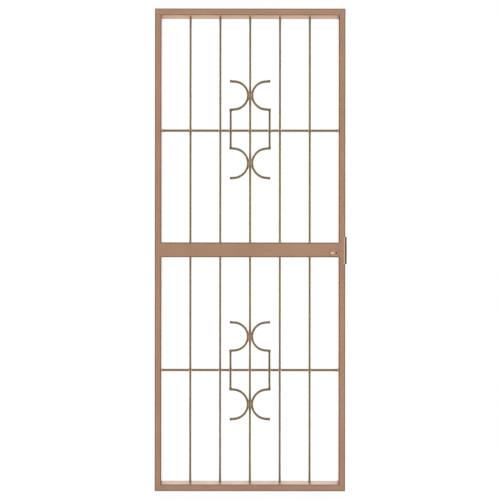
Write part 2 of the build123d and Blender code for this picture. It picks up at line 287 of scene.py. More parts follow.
# %% The sprayed enamel group
# Clouds and patches set the tone, dimples are the orange peel, and nibs are specks of dust.
CLOUDS_PER_METRE, PATCHES_PER_METRE, DIMPLES_PER_METRE, NIBS_PER_METRE = 11.0, 190.0, 620.0, 95.0
CLOUD_SHARE, PATCH_SHARE = 0.55, 0.45
NIB_TONE, NIB_COVER, NIB_HEIGHT, NIB_RIM = (0.05, 0.036, 0.027, 1), 0.35, 1.6, (0.05, 0.11)
LEAST_ROUGHNESS, PATCH_ROUGHNESS = 0.24, 0.12

enamel, given, result = new_group(
    "sprayed_enamel",
    {"Vector": "Vector", "Light Tone": "Color", "Deep Tone": "Color"},
    {"Colour": "Color", "Roughness": "Float", "Height": "Float"},
)
clouds = noise(enamel, given["Vector"], CLOUDS_PER_METRE, 1.0)
patches = noise(enamel, given["Vector"], PATCHES_PER_METRE, 2.0)
dimples = noise(enamel, given["Vector"], DIMPLES_PER_METRE, 1.0)
cloud_part = calculate(enamel, "MULTIPLY", clouds, CLOUD_SHARE)
patch_part = calculate(enamel, "MULTIPLY", patches, PATCH_SHARE)
tone = ramp(enamel, calculate(enamel, "ADD", cloud_part, patch_part), *MOST_NOISE)
body_colour = blend_colours(enamel, tone, given["Deep Tone"], given["Light Tone"])
grain = place(enamel, "TexVoronoi", Vector=given["Vector"], Scale=NIBS_PER_METRE)
nibs = ramp(enamel, grain.outputs["Distance"], *NIB_RIM, 1.0, 0.0)
nib_cover = calculate(enamel, "MULTIPLY", nibs, NIB_COVER)
specked = blend_colours(enamel, nib_cover, body_colour, NIB_TONE)
roughness = calculate(enamel, "MULTIPLY", patches, PATCH_ROUGHNESS)
roughness = calculate(enamel, "ADD", LEAST_ROUGHNESS, roughness)
relief = calculate(enamel, "ADD", dimples, calculate(enamel, "MULTIPLY", nibs, NIB_HEIGHT))
enamel.links.new(specked, result["Colour"])
enamel.links.new(roughness, result["Roughness"])
enamel.links.new(relief, result["Height"])
print("enamel group:", len(enamel.nodes), "nodes")

# %% [markdown]
# The dark line along every tube is painted shade of the tube's rounded corners, which turn away
# from the light. Blender can find edges by geometry, but that costs samples and doesn't export.
# The tubes are boxes, so the distance to the nearest edge is simple arithmetic: of a point's
# three distances to the box's sides, the nearest is the side that it lies on, and the second
# nearest is the edge. Depths count 2.5 times, which leaves the sides a narrower line than the
# front and the back. In rare spots the film has chipped there and the steel shows. The bottom
# rail's upper side is painted paler in uneven clouds, which is painted light from overhead.

# %% The distance-to-edge group
DEPTH_WEIGHT = 2.5

edge_finder, given, result = new_group(
    "distance_to_edge",
    {"Vector": "Vector", "Centre": "Vector", "Half Size": "Vector"},
    {"Distance": "Float"},
)
offset = combine(edge_finder, "SUBTRACT", given["Vector"], given["Centre"])
spread = combine(edge_finder, "ABSOLUTE", offset)
inset = combine(edge_finder, "SUBTRACT", given["Half Size"], spread)
inset = combine(edge_finder, "MULTIPLY", inset, (1, DEPTH_WEIGHT, 1))
x, y, z = place(edge_finder, "SeparateXYZ", _0=inset).outputs
lower_two = calculate(edge_finder, "MINIMUM", x, y)
higher_two = calculate(edge_finder, "MAXIMUM", x, y)
capped = calculate(edge_finder, "MINIMUM", higher_two, z)
second = calculate(edge_finder, "MAXIMUM", lower_two, capped)
edge_finder.links.new(second, result["Distance"])


# %% Painted materials
def new_material(name):
    """An empty node material, its Principled shader and the object coordinates to read."""
    material = bpy.data.materials.new(name)
    material.use_nodes = True
    tree = material.node_tree
    shader = tree.nodes["Principled BSDF"]
    return material, tree, shader, place(tree, "TexCoord").outputs["Object"]


def use_group(tree, group, **sockets):
    """A node group placed in a material; its outputs are returned by name."""
    node = place(tree, "Group", {"node_tree": group}, **sockets)
    return node.outputs


def finish_surface(tree, shader, colour, roughness, height, bump_depth):
    """Colour, roughness and a bump of the given depth in metres, wired to the shader."""
    tree.links.new(colour, shader.inputs["Base Color"])
    tree.links.new(roughness, shader.inputs["Roughness"])
    bump = place(tree, "Bump", Strength=1.0, Distance=bump_depth, Height=height)
    tree.links.new(bump.outputs[0], shader.inputs["Normal"])


# %% Painted edge tone and wear along a piece's edges
# The edge tone is painted shade of the tubes' rounded corners; the chips of bare steel are real
# wear.
EDGE_SHADE_TONE, EDGE_SHADE_WIDTH, EDGE_CORE, EDGE_DULLNESS = linear(88, 66, 44), 5.5 * MM, 0.3, 0.35
FRAME_COAT, COAT_FADE = 1.0, (0.5 * MM, 3.0 * MM)
BARE_STEEL = linear(120, 118, 114)
CHIPS_PER_METRE, CHIP_REACH, CHIP_RIM = 140.0, 2.0 * MM, (0.62 * MM, 0.72 * MM)


def painted_edge_tone_and_chips(tree, shader, where_at, box, edge_tone, edge_width, colour, roughness):
    """Colour and roughness as they turn along the edges of a box.

    The line is a painted tone: shade of the rounded corners on the tubes, a highlight on the
    escutcheons. It is solid over the first 0.3 of its width and fades over the rest, and the gloss
    coat thins out in it. Where noise reaches further in than the edge lies, bare steel shows.
    """
    low, high = box
    centre, half = tuple((low + high) / 2), tuple((high - low) / 2)
    distance = use_group(tree, edge_finder, Vector=where_at, Centre=centre, Half_Size=half)[0]
    painted_edge = ramp(tree, distance, EDGE_CORE * edge_width, edge_width, 1.0, 0.0)
    colour = blend_colours(tree, painted_edge, colour, edge_tone)
    dulled = calculate(tree, "MULTIPLY", painted_edge, EDGE_DULLNESS)
    roughness = calculate(tree, "ADD", roughness, dulled)
    tree.links.new(ramp(tree, distance, *COAT_FADE, 0.0, FRAME_COAT), shader.inputs["Coat Weight"])
    bite = calculate(tree, "MULTIPLY", noise(tree, where_at, CHIPS_PER_METRE, 3.0), CHIP_REACH)
    chipped = ramp(tree, calculate(tree, "SUBTRACT", bite, distance), *CHIP_RIM)
    return blend_colours(tree, chipped, colour, BARE_STEEL), roughness


# %% Painted light on an upper side
# A pale tone painted in uneven clouds on an upper side: painted light from overhead.
TOP_LIGHT_TONE, TOP_LIGHT_COVER, TOP_LIGHT_SPREAD = linear(184, 186, 186), 0.3, (0.7, 1.3)
TOP_LIGHT_CLOUDS_PER_METRE, TOP_LIGHT_RISE = 30.0, 0.3 * MM


def painted_top_light(tree, where_at, colour, lit_from):
    """A colour painted paler in uneven clouds from a given height in metres upwards: painted light.
    """
    height = place(tree, "SeparateXYZ", _0=where_at).outputs["Z"]
    upper_side = ramp(tree, height, lit_from - TOP_LIGHT_RISE, lit_from)
    least, most = (share * TOP_LIGHT_COVER for share in TOP_LIGHT_SPREAD)
    top_light_clouds = noise(tree, where_at, TOP_LIGHT_CLOUDS_PER_METRE, 3.0)
    cover = ramp(tree, top_light_clouds, *MOST_NOISE, least, most)
    return blend_colours(tree, calculate(tree, "MULTIPLY", upper_side, cover), colour, TOP_LIGHT_TONE)


# %% Enamel for one piece
FILM_IOR, COAT_ROUGHNESS, PEEL_DEPTH = 1.36, 0.12, 0.06 * MM


def painted(name, tones, box=None, edge_tone=EDGE_SHADE_TONE, edge_width=EDGE_SHADE_WIDTH, lit_from=None):
    """Enamel in a light and a deep tone, with chips and a painted edge line along the edges of a
    box if one is given. The line is painted shade unless another tone is given.

    From a given height upwards it is painted paler, which is painted light, if that height is
    given.
    """
    material, tree, shader, where_at = new_material(name)
    shader.inputs["Coat Weight"].default_value = FRAME_COAT
    shader.inputs["IOR"].default_value = FILM_IOR
    shader.inputs["Coat IOR"].default_value = FILM_IOR
    shader.inputs["Coat Roughness"].default_value = COAT_ROUGHNESS
    film = use_group(tree, enamel, Vector=where_at, Light_Tone=tones[0], Deep_Tone=tones[1])
    colour, roughness = film["Colour"], film["Roughness"]
    if box is not None:
        edges = (box, edge_tone, edge_width)
        colour, roughness = painted_edge_tone_and_chips(tree, shader, where_at, *edges, colour, roughness)
    if lit_from is not None:
        colour = painted_top_light(tree, where_at, colour, lit_from)
    finish_surface(tree, shader, colour, roughness, film["Height"], PEEL_DEPTH)
    return material


# %% [markdown]
# ## Paint of the frame, the rods and the welds
#
# The frame's enamel is thin and barely glossy, so its index of refraction is low. The rods carry
# darker copies of the same enamel, and their darkness is painted shade of their round shape.
# Their middles are grey-brown, while their rims are pale and yellowish, so their film reflects
# strongly at a glancing angle and tints what it reflects. The cross bars' copy is a little warmer
# than the uprights', and the ornament's short rods' a little darker. The welds are painted paler,
# which is a painted highlight of the light that the beads catch.

# %% Tones and gloss of each paint
FRAME_TONES = linear(165, 128, 102), linear(157, 120, 94)
# The rod tones are darker copies of the frame's enamel: painted shade of the rods' round shape.
SHADED_ROD_TONES = linear(109, 86, 65), linear(100, 78, 58)
SHADED_CROSS_TONES = linear(122, 92, 54), linear(114, 84, 48)
SHADED_SHORT_ROD_TONES = linear(94, 73, 50), linear(86, 65, 43)
# The weld tones are paler than the rods': a painted highlight.
WELD_HIGHLIGHT_TONES = linear(190, 166, 138), linear(168, 144, 116)
ROD_GLOSS = {
    "Specular IOR Level": 1.0,
    "Specular Tint": (1.0, 0.88, 0.55, 1),
    "IOR": 1.7,
    "Coat IOR": 1.5,
    "Coat Weight": 0.3,
}


def shine_like_bars(material):
    """The rods' own gloss: strong at the rims, warm, under a thin coat."""
    sockets = material.node_tree.nodes["Principled BSDF"].inputs
    for name, value in ROD_GLOSS.items():
        sockets[name].default_value = value


rod_paint = painted("bar_enamel", SHADED_ROD_TONES)
cross_paint = painted("cross_bar_enamel", SHADED_CROSS_TONES)
short_rod_paint = painted("short_rod_enamel", SHADED_SHORT_ROD_TONES)
for material in (rod_paint, cross_paint, short_rod_paint):
    shine_like_bars(material)
highlighted_weld_paint = painted("weld_enamel_painted_highlight", WELD_HIGHLIGHT_TONES)
hinge_paint = painted("hinge_enamel", FRAME_TONES)
enamels = (rod_paint, cross_paint, short_rod_paint, highlighted_weld_paint, hinge_paint)
print("shared enamels:", [material.name for material in enamels])

# %% [markdown]
# ## Which material goes on which CAD piece
#
# A CAD piece keeps its mesh and only gets a better material. Each tube and each escutcheon has
# its own copy of the enamel, because the painted edge lines are measured from that piece's box.
# The wide middle rail butts against the stiles, so its box is stretched sideways to keep the
# joint free of a painted edge line. Along the top and bottom rails' inner edges the painted line
# is kept narrower than along the outer ones, so their boxes reach 2 mm towards the gate's middle.

# %% Enamel on the tubes
def dress(node, material):
    """Give every material slot of a CAD node the same material."""
    for slot in frame["nodes"][node].material_slots:
        slot.material = material


SIDEWAYS = np.array([50.0, 0, 0]) * MM
# How far each tube's box reaches past its lowest and highest corner.
STRETCH = {
    "hinge_stile": (0, 0),
    "lock_stile": (0, 0),
    "top_rail": (np.array([0, 0, -2.2]) * MM, 0),
    "bottom_rail": (0, np.array([0, 0, 1.8]) * MM),
    "lock_rail": (-SIDEWAYS, SIDEWAYS),
}
for node, (lower, higher) in STRETCH.items():
    low, high = limits(node)
    # The bottom rail's upper side is painted paler, as painted light.
    lit_from = high[2] if node == "bottom_rail" else None
    box = (low + lower, high + higher)
    dress(node, painted(f"{node}_enamel", FRAME_TONES, box, lit_from=lit_from))

# %% Enamel on the rods and the hinges
PANELS = ("lower", "upper")
BARS = range(1, 6)
OTHER_LOTS = {"cross": cross_paint, "rod": short_rod_paint}

slots = {subpart["node"]: subpart["material_slot"] for subpart in frame["record"]["subparts"]}
rods = [node for node, slot in slots.items() if slot == "bar_paint"]
for node in rods:
    other_lot = [paint for word, paint in OTHER_LOTS.items() if word in node.split("_")]
    dress(node, other_lot[0] if other_lot else rod_paint)
for panel in PANELS:
    dress(f"{panel}_hinge_barrel", hinge_paint)
    bracket = f"{panel}_hinge_bracket"
    dress(bracket, painted(f"{panel}_bracket_enamel", FRAME_TONES, limits(bracket)))
print("rods painted:", len(rods))

# %% [markdown]
# ## Metals
#
# Four metals show: the brass lock front, the lock's cylinder, the zinc-plated lock case and
# bolt, and the steel hinge pins. None is a mirror. A drawn or brushed metal has fine lines
# along one direction, which a noise gives when it is stretched: many waves across, few along.
# The lines are one group, and each metal stretches it its own way.

# %% The drawn-lines group
STAINS_PER_METRE, STAIN_RIM = 160.0, (0.35, 0.7)
LINE_DEPTH, LINE_ROUGHNESS = 0.02 * MM, 0.2

drawn, given, result = new_group(
    "drawn_lines",
    {"Vector": "Vector", "Waves per Metre": "Vector"},
    {"Lines": "Float", "Stains": "Float"},
)
stretched = combine(drawn, "MULTIPLY", given["Vector"], given["Waves per Metre"])
drawn.links.new(noise(drawn, stretched, 1.0, 3.0), result["Lines"])
drawn.links.new(noise(drawn, given["Vector"], STAINS_PER_METRE, 3.0), result["Stains"])


def metal(name, bright, dull, waves, least_roughness):
    """A brushed metal: its bright and dull tones, its lines' stretch and its least roughness."""
    material, tree, shader, where_at = new_material(name)
    shader.inputs["Metallic"].default_value = 1.0
    pattern = use_group(tree, drawn, Vector=where_at, Waves_per_Metre=waves)
    stain = ramp(tree, pattern["Stains"], *STAIN_RIM)
    colour = blend_colours(tree, stain, bright, dull)
    rough_lines = calculate(tree, "MULTIPLY", pattern["Lines"], LINE_ROUGHNESS)
    roughness = calculate(tree, "ADD", least_roughness, rough_lines)
    finish_surface(tree, shader, colour, roughness, pattern["Lines"], LINE_DEPTH)
    return material


ZINC_TONES = linear(196, 196, 190), linear(165, 166, 160)
STEEL_TONES = linear(178, 176, 170), linear(150, 147, 140)
# Waves per metre along x, y and z: few along the lines, many across them.
LINES_ALONG_X, LINES_ROUND_PIN = (300.0, 2500.0, 2500.0), (60.0, 60.0, 2600.0)

zinc = metal("zinc_plate", *ZINC_TONES, LINES_ALONG_X, least_roughness=0.3)
pin_steel = metal("turned_steel", *STEEL_TONES, LINES_ROUND_PIN, least_roughness=0.28)
for node in ("lock_case", "lock_bolt"):
    dress(node, zinc)
for node in ("lower_hinge_pin", "upper_hinge_pin"):
    dress(node, pin_steel)

# %% [markdown]
# The lock's front is one piece of brass in two painted tones. The thin lip on the gate's face is
# painted pale, which is a painted highlight, and the rounded edge towards the door frame is
# painted dark brown, which is painted shade. Together they make a pale stripe with a dark one
# beside it. A film lies over both, so neither shines as bare metal does. The change falls on one
# upright line, so the object's x coordinate is all the mask that it needs, roughened by a
# little noise.

# %% Brass of the lock front
LIP_ENDS_AT, LIP_RAGGED, SHADE_BLUR = GATE_RIGHT - 1.7 * MM, 0.8 * MM, 1.0 * MM
# The lip's pale brass is a painted highlight; the edge's dark bronze is painted shade.
HIGHLIT_BRASS, HIGHLIT_BRASS_DULL = linear(218, 186, 158), linear(206, 174, 146)
SHADED_BRONZE, SHADED_BRONZE_PATCH, SHADE_PATCH_RIM = linear(52, 28, 6), linear(66, 40, 14), (0.4, 0.7)
LINES_ALONG_Z = (2500.0, 2500.0, 120.0)
FILMED_SPECULAR, FILMED_METALLIC = 0.1, (0.2, 0.3)
LEAST_BRASS_ROUGHNESS, SHADED_EDGE_ROUGHNESS = 0.3, 0.3


def lock_front_brass():
    """Brass under a film, with a painted highlight left of one upright line and painted shade right
    of it.
    """
    material, tree, shader, where_at = new_material("lock_front_brass")
    shader.inputs["Specular IOR Level"].default_value = FILMED_SPECULAR
    pattern = use_group(tree, drawn, Vector=where_at, Waves_per_Metre=LINES_ALONG_Z)
    pale = blend_colours(tree, pattern["Lines"], HIGHLIT_BRASS_DULL, HIGHLIT_BRASS)
    shade_patches = ramp(tree, pattern["Stains"], *SHADE_PATCH_RIM)
    dark = blend_colours(tree, shade_patches, SHADED_BRONZE, SHADED_BRONZE_PATCH)
    across_x = place(tree, "SeparateXYZ", _0=where_at).outputs["X"]
    wander = calculate(tree, "MULTIPLY", pattern["Stains"], LIP_RAGGED)
    ragged = calculate(tree, "ADD", across_x, wander)
    shaded_edge = ramp(tree, ragged, LIP_ENDS_AT, LIP_ENDS_AT + SHADE_BLUR)
    tree.links.new(ramp(tree, shaded_edge, 0.0, 1.0, *FILMED_METALLIC), shader.inputs["Metallic"])
    colour = blend_colours(tree, shaded_edge, pale, dark)
    rough_shaded_edge = calculate(tree, "MULTIPLY", shaded_edge, SHADED_EDGE_ROUGHNESS)
    roughness = calculate(tree, "ADD", LEAST_BRASS_ROUGHNESS, rough_shaded_edge)
    finish_surface(tree, shader, colour, roughness, pattern["Lines"], LINE_DEPTH)
    return material


dress("lock_forend", lock_front_brass())

# %% [markdown]
# The cylinder is pale brass with a nickel flash. Its plug has a bright rim and a dark brown middle
# around the keyway, which is painted shade of the keyway. That middle is a disc, so its mask is
# the distance from the plug's axis, measured in the plane of the gate's face.

# %% Cylinder and plug
NICKEL_BRASS, NICKEL_DULL = linear(255, 222, 190), linear(238, 200, 168)
# The dark brown of the plug's middle is painted shade of the keyway.
HANDLED_BRASS, KEYWAY_SHADE_BROWN = linear(206, 164, 134), linear(60, 16, 0)
CLEAN_METALLIC, KEYWAY_SHADE_ROUGHNESS = 0.6, 0.35
CYLINDER_LINES = (600.0, 2500.0, 2500.0)

plug_low, plug_high = limits("lock_plug")
PLUG_AXIS = (plug_low + plug_high) / 2
PLUG_RADIUS = (plug_high[0] - plug_low[0]) / 2
HANDLED_RADIUS, KEYWAY_SHADE_RADIUS, RIM_BLUR = 1.6 * PLUG_RADIUS, 0.64 * PLUG_RADIUS, 0.8 * MM


def within(tree, distance, radius):
    """A mask that is 1 inside a radius and 0 outside it, with a blurred rim."""
    return ramp(tree, distance, radius - RIM_BLUR, radius + RIM_BLUR, 1.0, 0.0)


def cylinder_metal():
    """Pale brass, dulled within one radius of the plug's axis and painted dark within another, as
    keyway shade.
    """
    material, tree, shader, where_at = new_material("cylinder_brass")
    pattern = use_group(tree, drawn, Vector=where_at, Waves_per_Metre=CYLINDER_LINES)
    from_axis = combine(tree, "SUBTRACT", where_at, tuple(PLUG_AXIS))
    flat = combine(tree, "MULTIPLY", from_axis, (1, 0, 1))
    distance = place(tree, "VectorMath", {"operation": "LENGTH"}, _0=flat).outputs["Value"]
    dulled = within(tree, distance, HANDLED_RADIUS)
    keyway_shade = within(tree, distance, KEYWAY_SHADE_RADIUS)
    colour = blend_colours(tree, pattern["Lines"], NICKEL_DULL, NICKEL_BRASS)
    colour = blend_colours(tree, dulled, colour, HANDLED_BRASS)
    colour = blend_colours(tree, keyway_shade, colour, KEYWAY_SHADE_BROWN)
    tree.links.new(ramp(tree, keyway_shade, 0.0, 1.0, CLEAN_METALLIC, 0.0), shader.inputs["Metallic"])
    rough_keyway_shade = calculate(tree, "MULTIPLY", keyway_shade, KEYWAY_SHADE_ROUGHNESS)
    roughness = calculate(tree, "ADD", LEAST_BRASS_ROUGHNESS, rough_keyway_shade)
    finish_surface(tree, shader, colour, roughness, pattern["Lines"], LINE_DEPTH)
    return material


cylinder_brass = cylinder_metal()
for node in ("lock_cylinder", "lock_plug"):
    dress(node, cylinder_brass)

# %% [markdown]
# The escutcheon is a painted steel plate around the cylinder. Its enamel is a darker copy of the
# frame's, which is painted shade, and its long edges are painted pale, which is a painted
# highlight: two light dashes above and below the cylinder. Its box is stretched sideways, so
# only the long edges count.

# %% Escutcheons
# The plate's darker tones are painted shade; its pale long edges are a painted highlight.
SHADED_PLATE_TONES = linear(158, 120, 93), linear(150, 112, 86)
RIM_HIGHLIGHT_TONE, RIM_HIGHLIGHT_WIDTH = linear(240, 206, 182), 1.7 * MM
for node in ("front_escutcheon", "rear_escutcheon"):
    low, high = limits(node)
    long_edges = (low - SIDEWAYS, high + SIDEWAYS)
    plate_paint = painted(f"{node}_enamel", SHADED_PLATE_TONES, long_edges, RIM_HIGHLIGHT_TONE, RIM_HIGHLIGHT_WIDTH)
    dress(node, plate_paint)
print("materials in all:", len(bpy.data.materials))

# %% [markdown]
# ## Welds
#
# Bars don't end at a rail, they are welded to it, and the bead of the weld is what makes a
# steel gate look made. A bead could be sculpted or displaced, but its shape is simple enough
# to write down: a profile carried along a path, with small regular ripples where the welder
# moved the rod on. Points come from whole numpy arrays. All the beads of one kind share a grid
# of the same size, so one array of shape (beads, rows, columns, 3) holds them all.

# %% From grids of points to one mesh
POLE_TOLERANCE = 1e-7


def around(steps):
    """Angles that go once round in even steps."""
    return np.linspace(0, 2 * np.pi, steps, endpoint=False)


def add_piece(name, grids, material, wrap_rows=False):
    """One closed mesh from grids of points, riding on the leaf.

    grids has the shape (copies, rows, columns, 3). Columns always close on themselves. Rows
    close too with wrap_rows, and otherwise the first and last row are poles, whose points
    coincide and are merged. Face normals are then turned outward.
    """
    copies, rows, columns, _ = grids.shape
    row_steps = rows if wrap_rows else rows - 1
    i, j = np.meshgrid(np.arange(row_steps), np.arange(columns), indexing="ij")
    i_next, j_next = (i + 1) % rows, (j + 1) % columns
    near, far = i * columns, i_next * columns
    quads = np.stack([near + j, far + j, far + j_next, near + j_next], axis=-1)
    offsets = np.arange(copies) * rows * columns
    faces = (quads.reshape(1, -1, 4) + offsets.reshape(-1, 1, 1)).reshape(-1, 4)
    mesh = bpy.data.meshes.new(name)
    mesh.from_pydata(grids.reshape(-1, 3).tolist(), [], faces.tolist())
    shape = bmesh.new()
    shape.from_mesh(mesh)
    bmesh.ops.remove_doubles(shape, verts=shape.verts, dist=POLE_TOLERANCE)
    bmesh.ops.recalc_face_normals(shape, faces=shape.faces)
    shape.to_mesh(mesh)
    shape.free()
    mesh.shade_smooth()
    mesh.materials.append(material)
    piece = bpy.data.objects.new(name, mesh)
    bpy.context.scene.collection.objects.link(piece)
    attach(piece, "leaf")
    print(name, "has", len(mesh.polygons), "faces in", copies, "copies")


# %% [markdown]
# A bar's end sits in a ring of weld. The ring is a doughnut around the bar, whose outer upper
# quarter is the fillet that one sees; the rest is inside the bar or sunk in the rail. The
# ripples make its thickness wave as it goes round.

# %% Rings of weld at the ends of the bars
bar_low, bar_high = limits("upper_bar_1")
BAR_RADIUS = (bar_high[0] - bar_low[0]) / 2
RING_LEG, RING_SUNK, BELOW_FACE, PHASE_STEP = 2.2 * MM, 0.2 * MM, 0.25, 1.9
RING_RIPPLES, RING_RIPPLE, RING_SWELL = 11, 0.07, 0.05
# How many points go round a ring, and round the section of any weld that closes on itself.
RING_POINTS, SECTION_POINTS = 44, 12


def ring_welds(centres, outward, across_one, across_two):
    """Doughnuts around bar ends.

    At angle a round the bar and t round the ring's own section, the distance from the bar's
    axis is R - 0.2 mm + leg * cos(t) and the height over the rail is leg * sin(t), cut to a
    quarter of that below the rail's face. The leg waves by 7 per cent eleven times round, and
    by 5 per cent twice round, with another phase at each bar.
    """
    a, t = around(RING_POINTS).reshape(1, 1, -1), around(SECTION_POINTS).reshape(1, -1, 1)
    phase = PHASE_STEP * np.arange(len(centres)).reshape(-1, 1, 1)
    ripple = RING_RIPPLE * np.sin(RING_RIPPLES * a + phase)
    swell = RING_SWELL * np.sin(2 * a + 3 * phase)
    leg = RING_LEG * (1 + ripple + swell)
    radius = BAR_RADIUS - RING_SUNK + leg * np.cos(t)
    rise = np.where(np.sin(t) > 0, 1.0, BELOW_FACE) * leg * np.sin(t)
    round_bar = np.cos(a)[..., None] * across_one + np.sin(a)[..., None] * across_two
    sides = radius[..., None] * round_bar
    return centres[:, None, None, :] + sides + rise[..., None] * outward[:, None, None, :]


X, Y, Z = np.eye(3)
upright_ends, upright_way = [], []
level_ends, level_way = [], []
for panel in PANELS:
    for number in BARS:
        low, high = limits(f"{panel}_bar_{number}")
        middle = (low + high) / 2
        upright_ends += [(middle[0], middle[1], low[2]), (middle[0], middle[1], high[2])]
        upright_way += [Z, -Z]
    low, high = limits(f"{panel}_cross_bar")
    middle = (low + high) / 2
    level_ends += [(low[0], middle[1], middle[2]), (high[0], middle[1], middle[2])]
    level_way += [X, -X]

for name, ends, way, one, two in (
    ("bar_end_welds", upright_ends, upright_way, X, Y),
    ("cross_bar_end_welds", level_ends, level_way, Y, Z),
):
    grids = ring_welds(np.array(ends), np.array(way), one, two)
    add_piece(name, grids, highlighted_weld_paint, wrap_rows=True)

# %% [markdown]
# Where a scroll's bend lies against the centre bar, a welder lays a short bead in the groove
# before and behind. These beads are ellipsoids with ripples, and the same formula later makes
# the runs of weld at the hinges.

# %% The formula for a bead
BEAD_POINTS, BEAD_SIDES = 66, 20
BEAD_BLUNTNESS, BEAD_RIPPLE = 0.8, 0.08


def beads(centres, half_size, ripples):
    """Upright rippled ellipsoids.

    With s from pole to pole and a round the axis, a point is the centre plus
    half_size * cos(s) upwards and half_size * sin(s)^0.8 * ripple sideways, where the ripple
    is 1 + 0.08 * sin(ripples * s), so the bead swells in even rings. The power of 0.8 blunts
    its ends.
    """
    s = np.linspace(0, np.pi, BEAD_POINTS).reshape(1, -1, 1)
    a = around(BEAD_SIDES).reshape(1, 1, -1)
    blunt = np.clip(np.sin(s), 0, 1) ** BEAD_BLUNTNESS
    girth = blunt * (1 + BEAD_RIPPLE * np.sin(ripples * s))
    girth[:, [0, -1]] = 0.0
    unit = np.stack([girth * np.cos(a), girth * np.sin(a), np.cos(s) + 0 * a], axis=-1)
    return np.array(centres)[:, None, None, :] + half_size * unit


# %% Beads in the grooves between the scrolls and the centre bar
SIDES = (("left", -1), ("right", 1))
GROOVE_SIDEWAYS, GROOVE_DEEP = 4.4 * MM, 2.5 * MM
GROOVE_BEAD, GROOVE_RIPPLES = np.array([2.1, 2.4, 16.5]) * MM, 34

groove_centres = []
for panel in PANELS:
    bar_low, bar_high = limits(f"{panel}_bar_3")
    axis_x, axis_y = (bar_low[:2] + bar_high[:2]) / 2
    for level_name in ("top", "bottom"):
        for side_name, side in SIDES:
            low, high = limits(f"{panel}_scroll_{level_name}_{side_name}")
            groove_x, groove_z = axis_x + side * GROOVE_SIDEWAYS, (low[2] + high[2]) / 2
            depths = [axis_y + face * GROOVE_DEEP for face in (-1, 1)]
            groove_centres += [(groove_x, groove_y, groove_z) for groove_y in depths]

groove_beads = beads(groove_centres, GROOVE_BEAD, GROOVE_RIPPLES)
add_piece("scroll_welds", groove_beads, highlighted_weld_paint)

# %% [markdown]
# An upright touches a cross bar at one point only, so the weld is built up in the two notches
# beside it. Each bead starts above the point, runs down round the front of the cross bar, and
# ends below it. That is an arc about the cross bar's own axis, with a round section that
# tapers at both ends.

# %% Beads beside each crossing
NOTCH_SIDEWAYS, NOTCH_REACH, NOTCH_GIRTH = 5.1 * MM, 5.6 * MM, 2.1 * MM
NOTCH_HALF_TURN, NOTCH_TAPER = math.radians(62), 0.4
NOTCH_RIPPLES, NOTCH_RIPPLE = 13, 0.07
NOTCH_POINTS, NOTCH_SIDES = 25, 16


def arc_beads(centres):
    """Beads bent round level axes along X, on the side towards -Y.

    With p from -1 to 1, the bead's middle is at the angle p * half_turn and the distance
    reach from the axis. Its section is a circle of radius girth * (1 - p^2)^0.4, which
    ripples by 7 per cent.
    """
    p = np.linspace(-1, 1, NOTCH_POINTS).reshape(1, -1, 1)
    a = around(NOTCH_SIDES).reshape(1, 1, -1)
    taper = np.clip(1 - p**2, 0, 1) ** NOTCH_TAPER
    size = NOTCH_GIRTH * taper * (1 + NOTCH_RIPPLE * np.cos(NOTCH_RIPPLES * p))
    distance, turn = NOTCH_REACH + size * np.cos(a), p * NOTCH_HALF_TURN
    bead = [size * np.sin(a), -distance * np.cos(turn), distance * np.sin(turn)]
    return centres[:, None, None, :] + np.stack(bead, axis=-1)


notches = []
for panel in PANELS:
    cross_low, cross_high = limits(f"{panel}_cross_bar")
    cross_middle = (cross_low + cross_high) / 2
    uprights = [f"{panel}_bar_{number}" for number in BARS]
    uprights += [f"{panel}_scroll_rod_{side_name}" for side_name, _ in SIDES]
    for node in uprights:
        low, high = limits(node)
        middle_x = (low[0] + high[0]) / 2
        notches += [(middle_x + side * NOTCH_SIDEWAYS, *cross_middle[1:]) for side in (-1, 1)]

add_piece("crossing_welds", arc_beads(np.array(notches)), highlighted_weld_paint)

# %% [markdown]
# The short rods end in a hollow that fits round the scroll's tail, as a pipe does when it
# meets another of its own size. The weld follows that saddle-shaped joint all the way round.

# %% Saddle-shaped welds where the short rods meet the tails
SADDLE_GIRTH, SADDLE_RIPPLES, SADDLE_RIPPLE, SADDLE_POINTS = 1.3 * MM, 13, 0.08, 48


def saddle_welds(joints, mirrors):
    """Rings of weld along the joint of two equal rods that cross at a right angle.

    At angle a round the short rod, the joint is R from that rod's axis and, short of the
    tail's axis, sqrt((R cos a)^2 + 1 mm^2). The bead's section round it is a circle whose
    radius waves by 8 per cent, thirteen times round. mirrors turns a rod's lower end over.
    """
    a, t = around(SADDLE_POINTS).reshape(1, 1, -1), around(SECTION_POINTS).reshape(1, -1, 1)
    size = SADDLE_GIRTH * (1 + SADDLE_RIPPLE * np.sin(SADDLE_RIPPLES * a))
    radius = BAR_RADIUS + size * np.cos(t)
    short_of = np.sqrt((BAR_RADIUS * np.cos(a)) ** 2 + MM**2) + size * np.sin(t)
    ring = np.stack([radius * np.cos(a), radius * np.sin(a), -short_of], axis=-1)
    return joints[:, None, None, :] + ring * mirrors[:, None, None, :]


joints, mirrors = [], []
for panel in PANELS:
    for side_name, _ in SIDES:
        low, high = limits(f"{panel}_scroll_rod_{side_name}")
        middle = (low + high) / 2
        joints += [(middle[0], middle[1], low[2]), (middle[0], middle[1], high[2])]
        mirrors += [(1, 1, -1), (1, 1, 1)]
saddles = saddle_welds(np.array(joints), np.array(mirrors))
add_piece("scroll_rod_welds", saddles, rod_paint, wrap_rows=True)

# %% [markdown]
# The scrolls' free tails were cut square, and each tail ends in a dark dot: the enamel is painted
# darker over the last few millimetres towards the end. A thin cap of paint over the end gives the
# round edge. The end isn't at the scroll's box, because the other tail is longer, so its place is
# read from the rim of the CAD mesh itself.

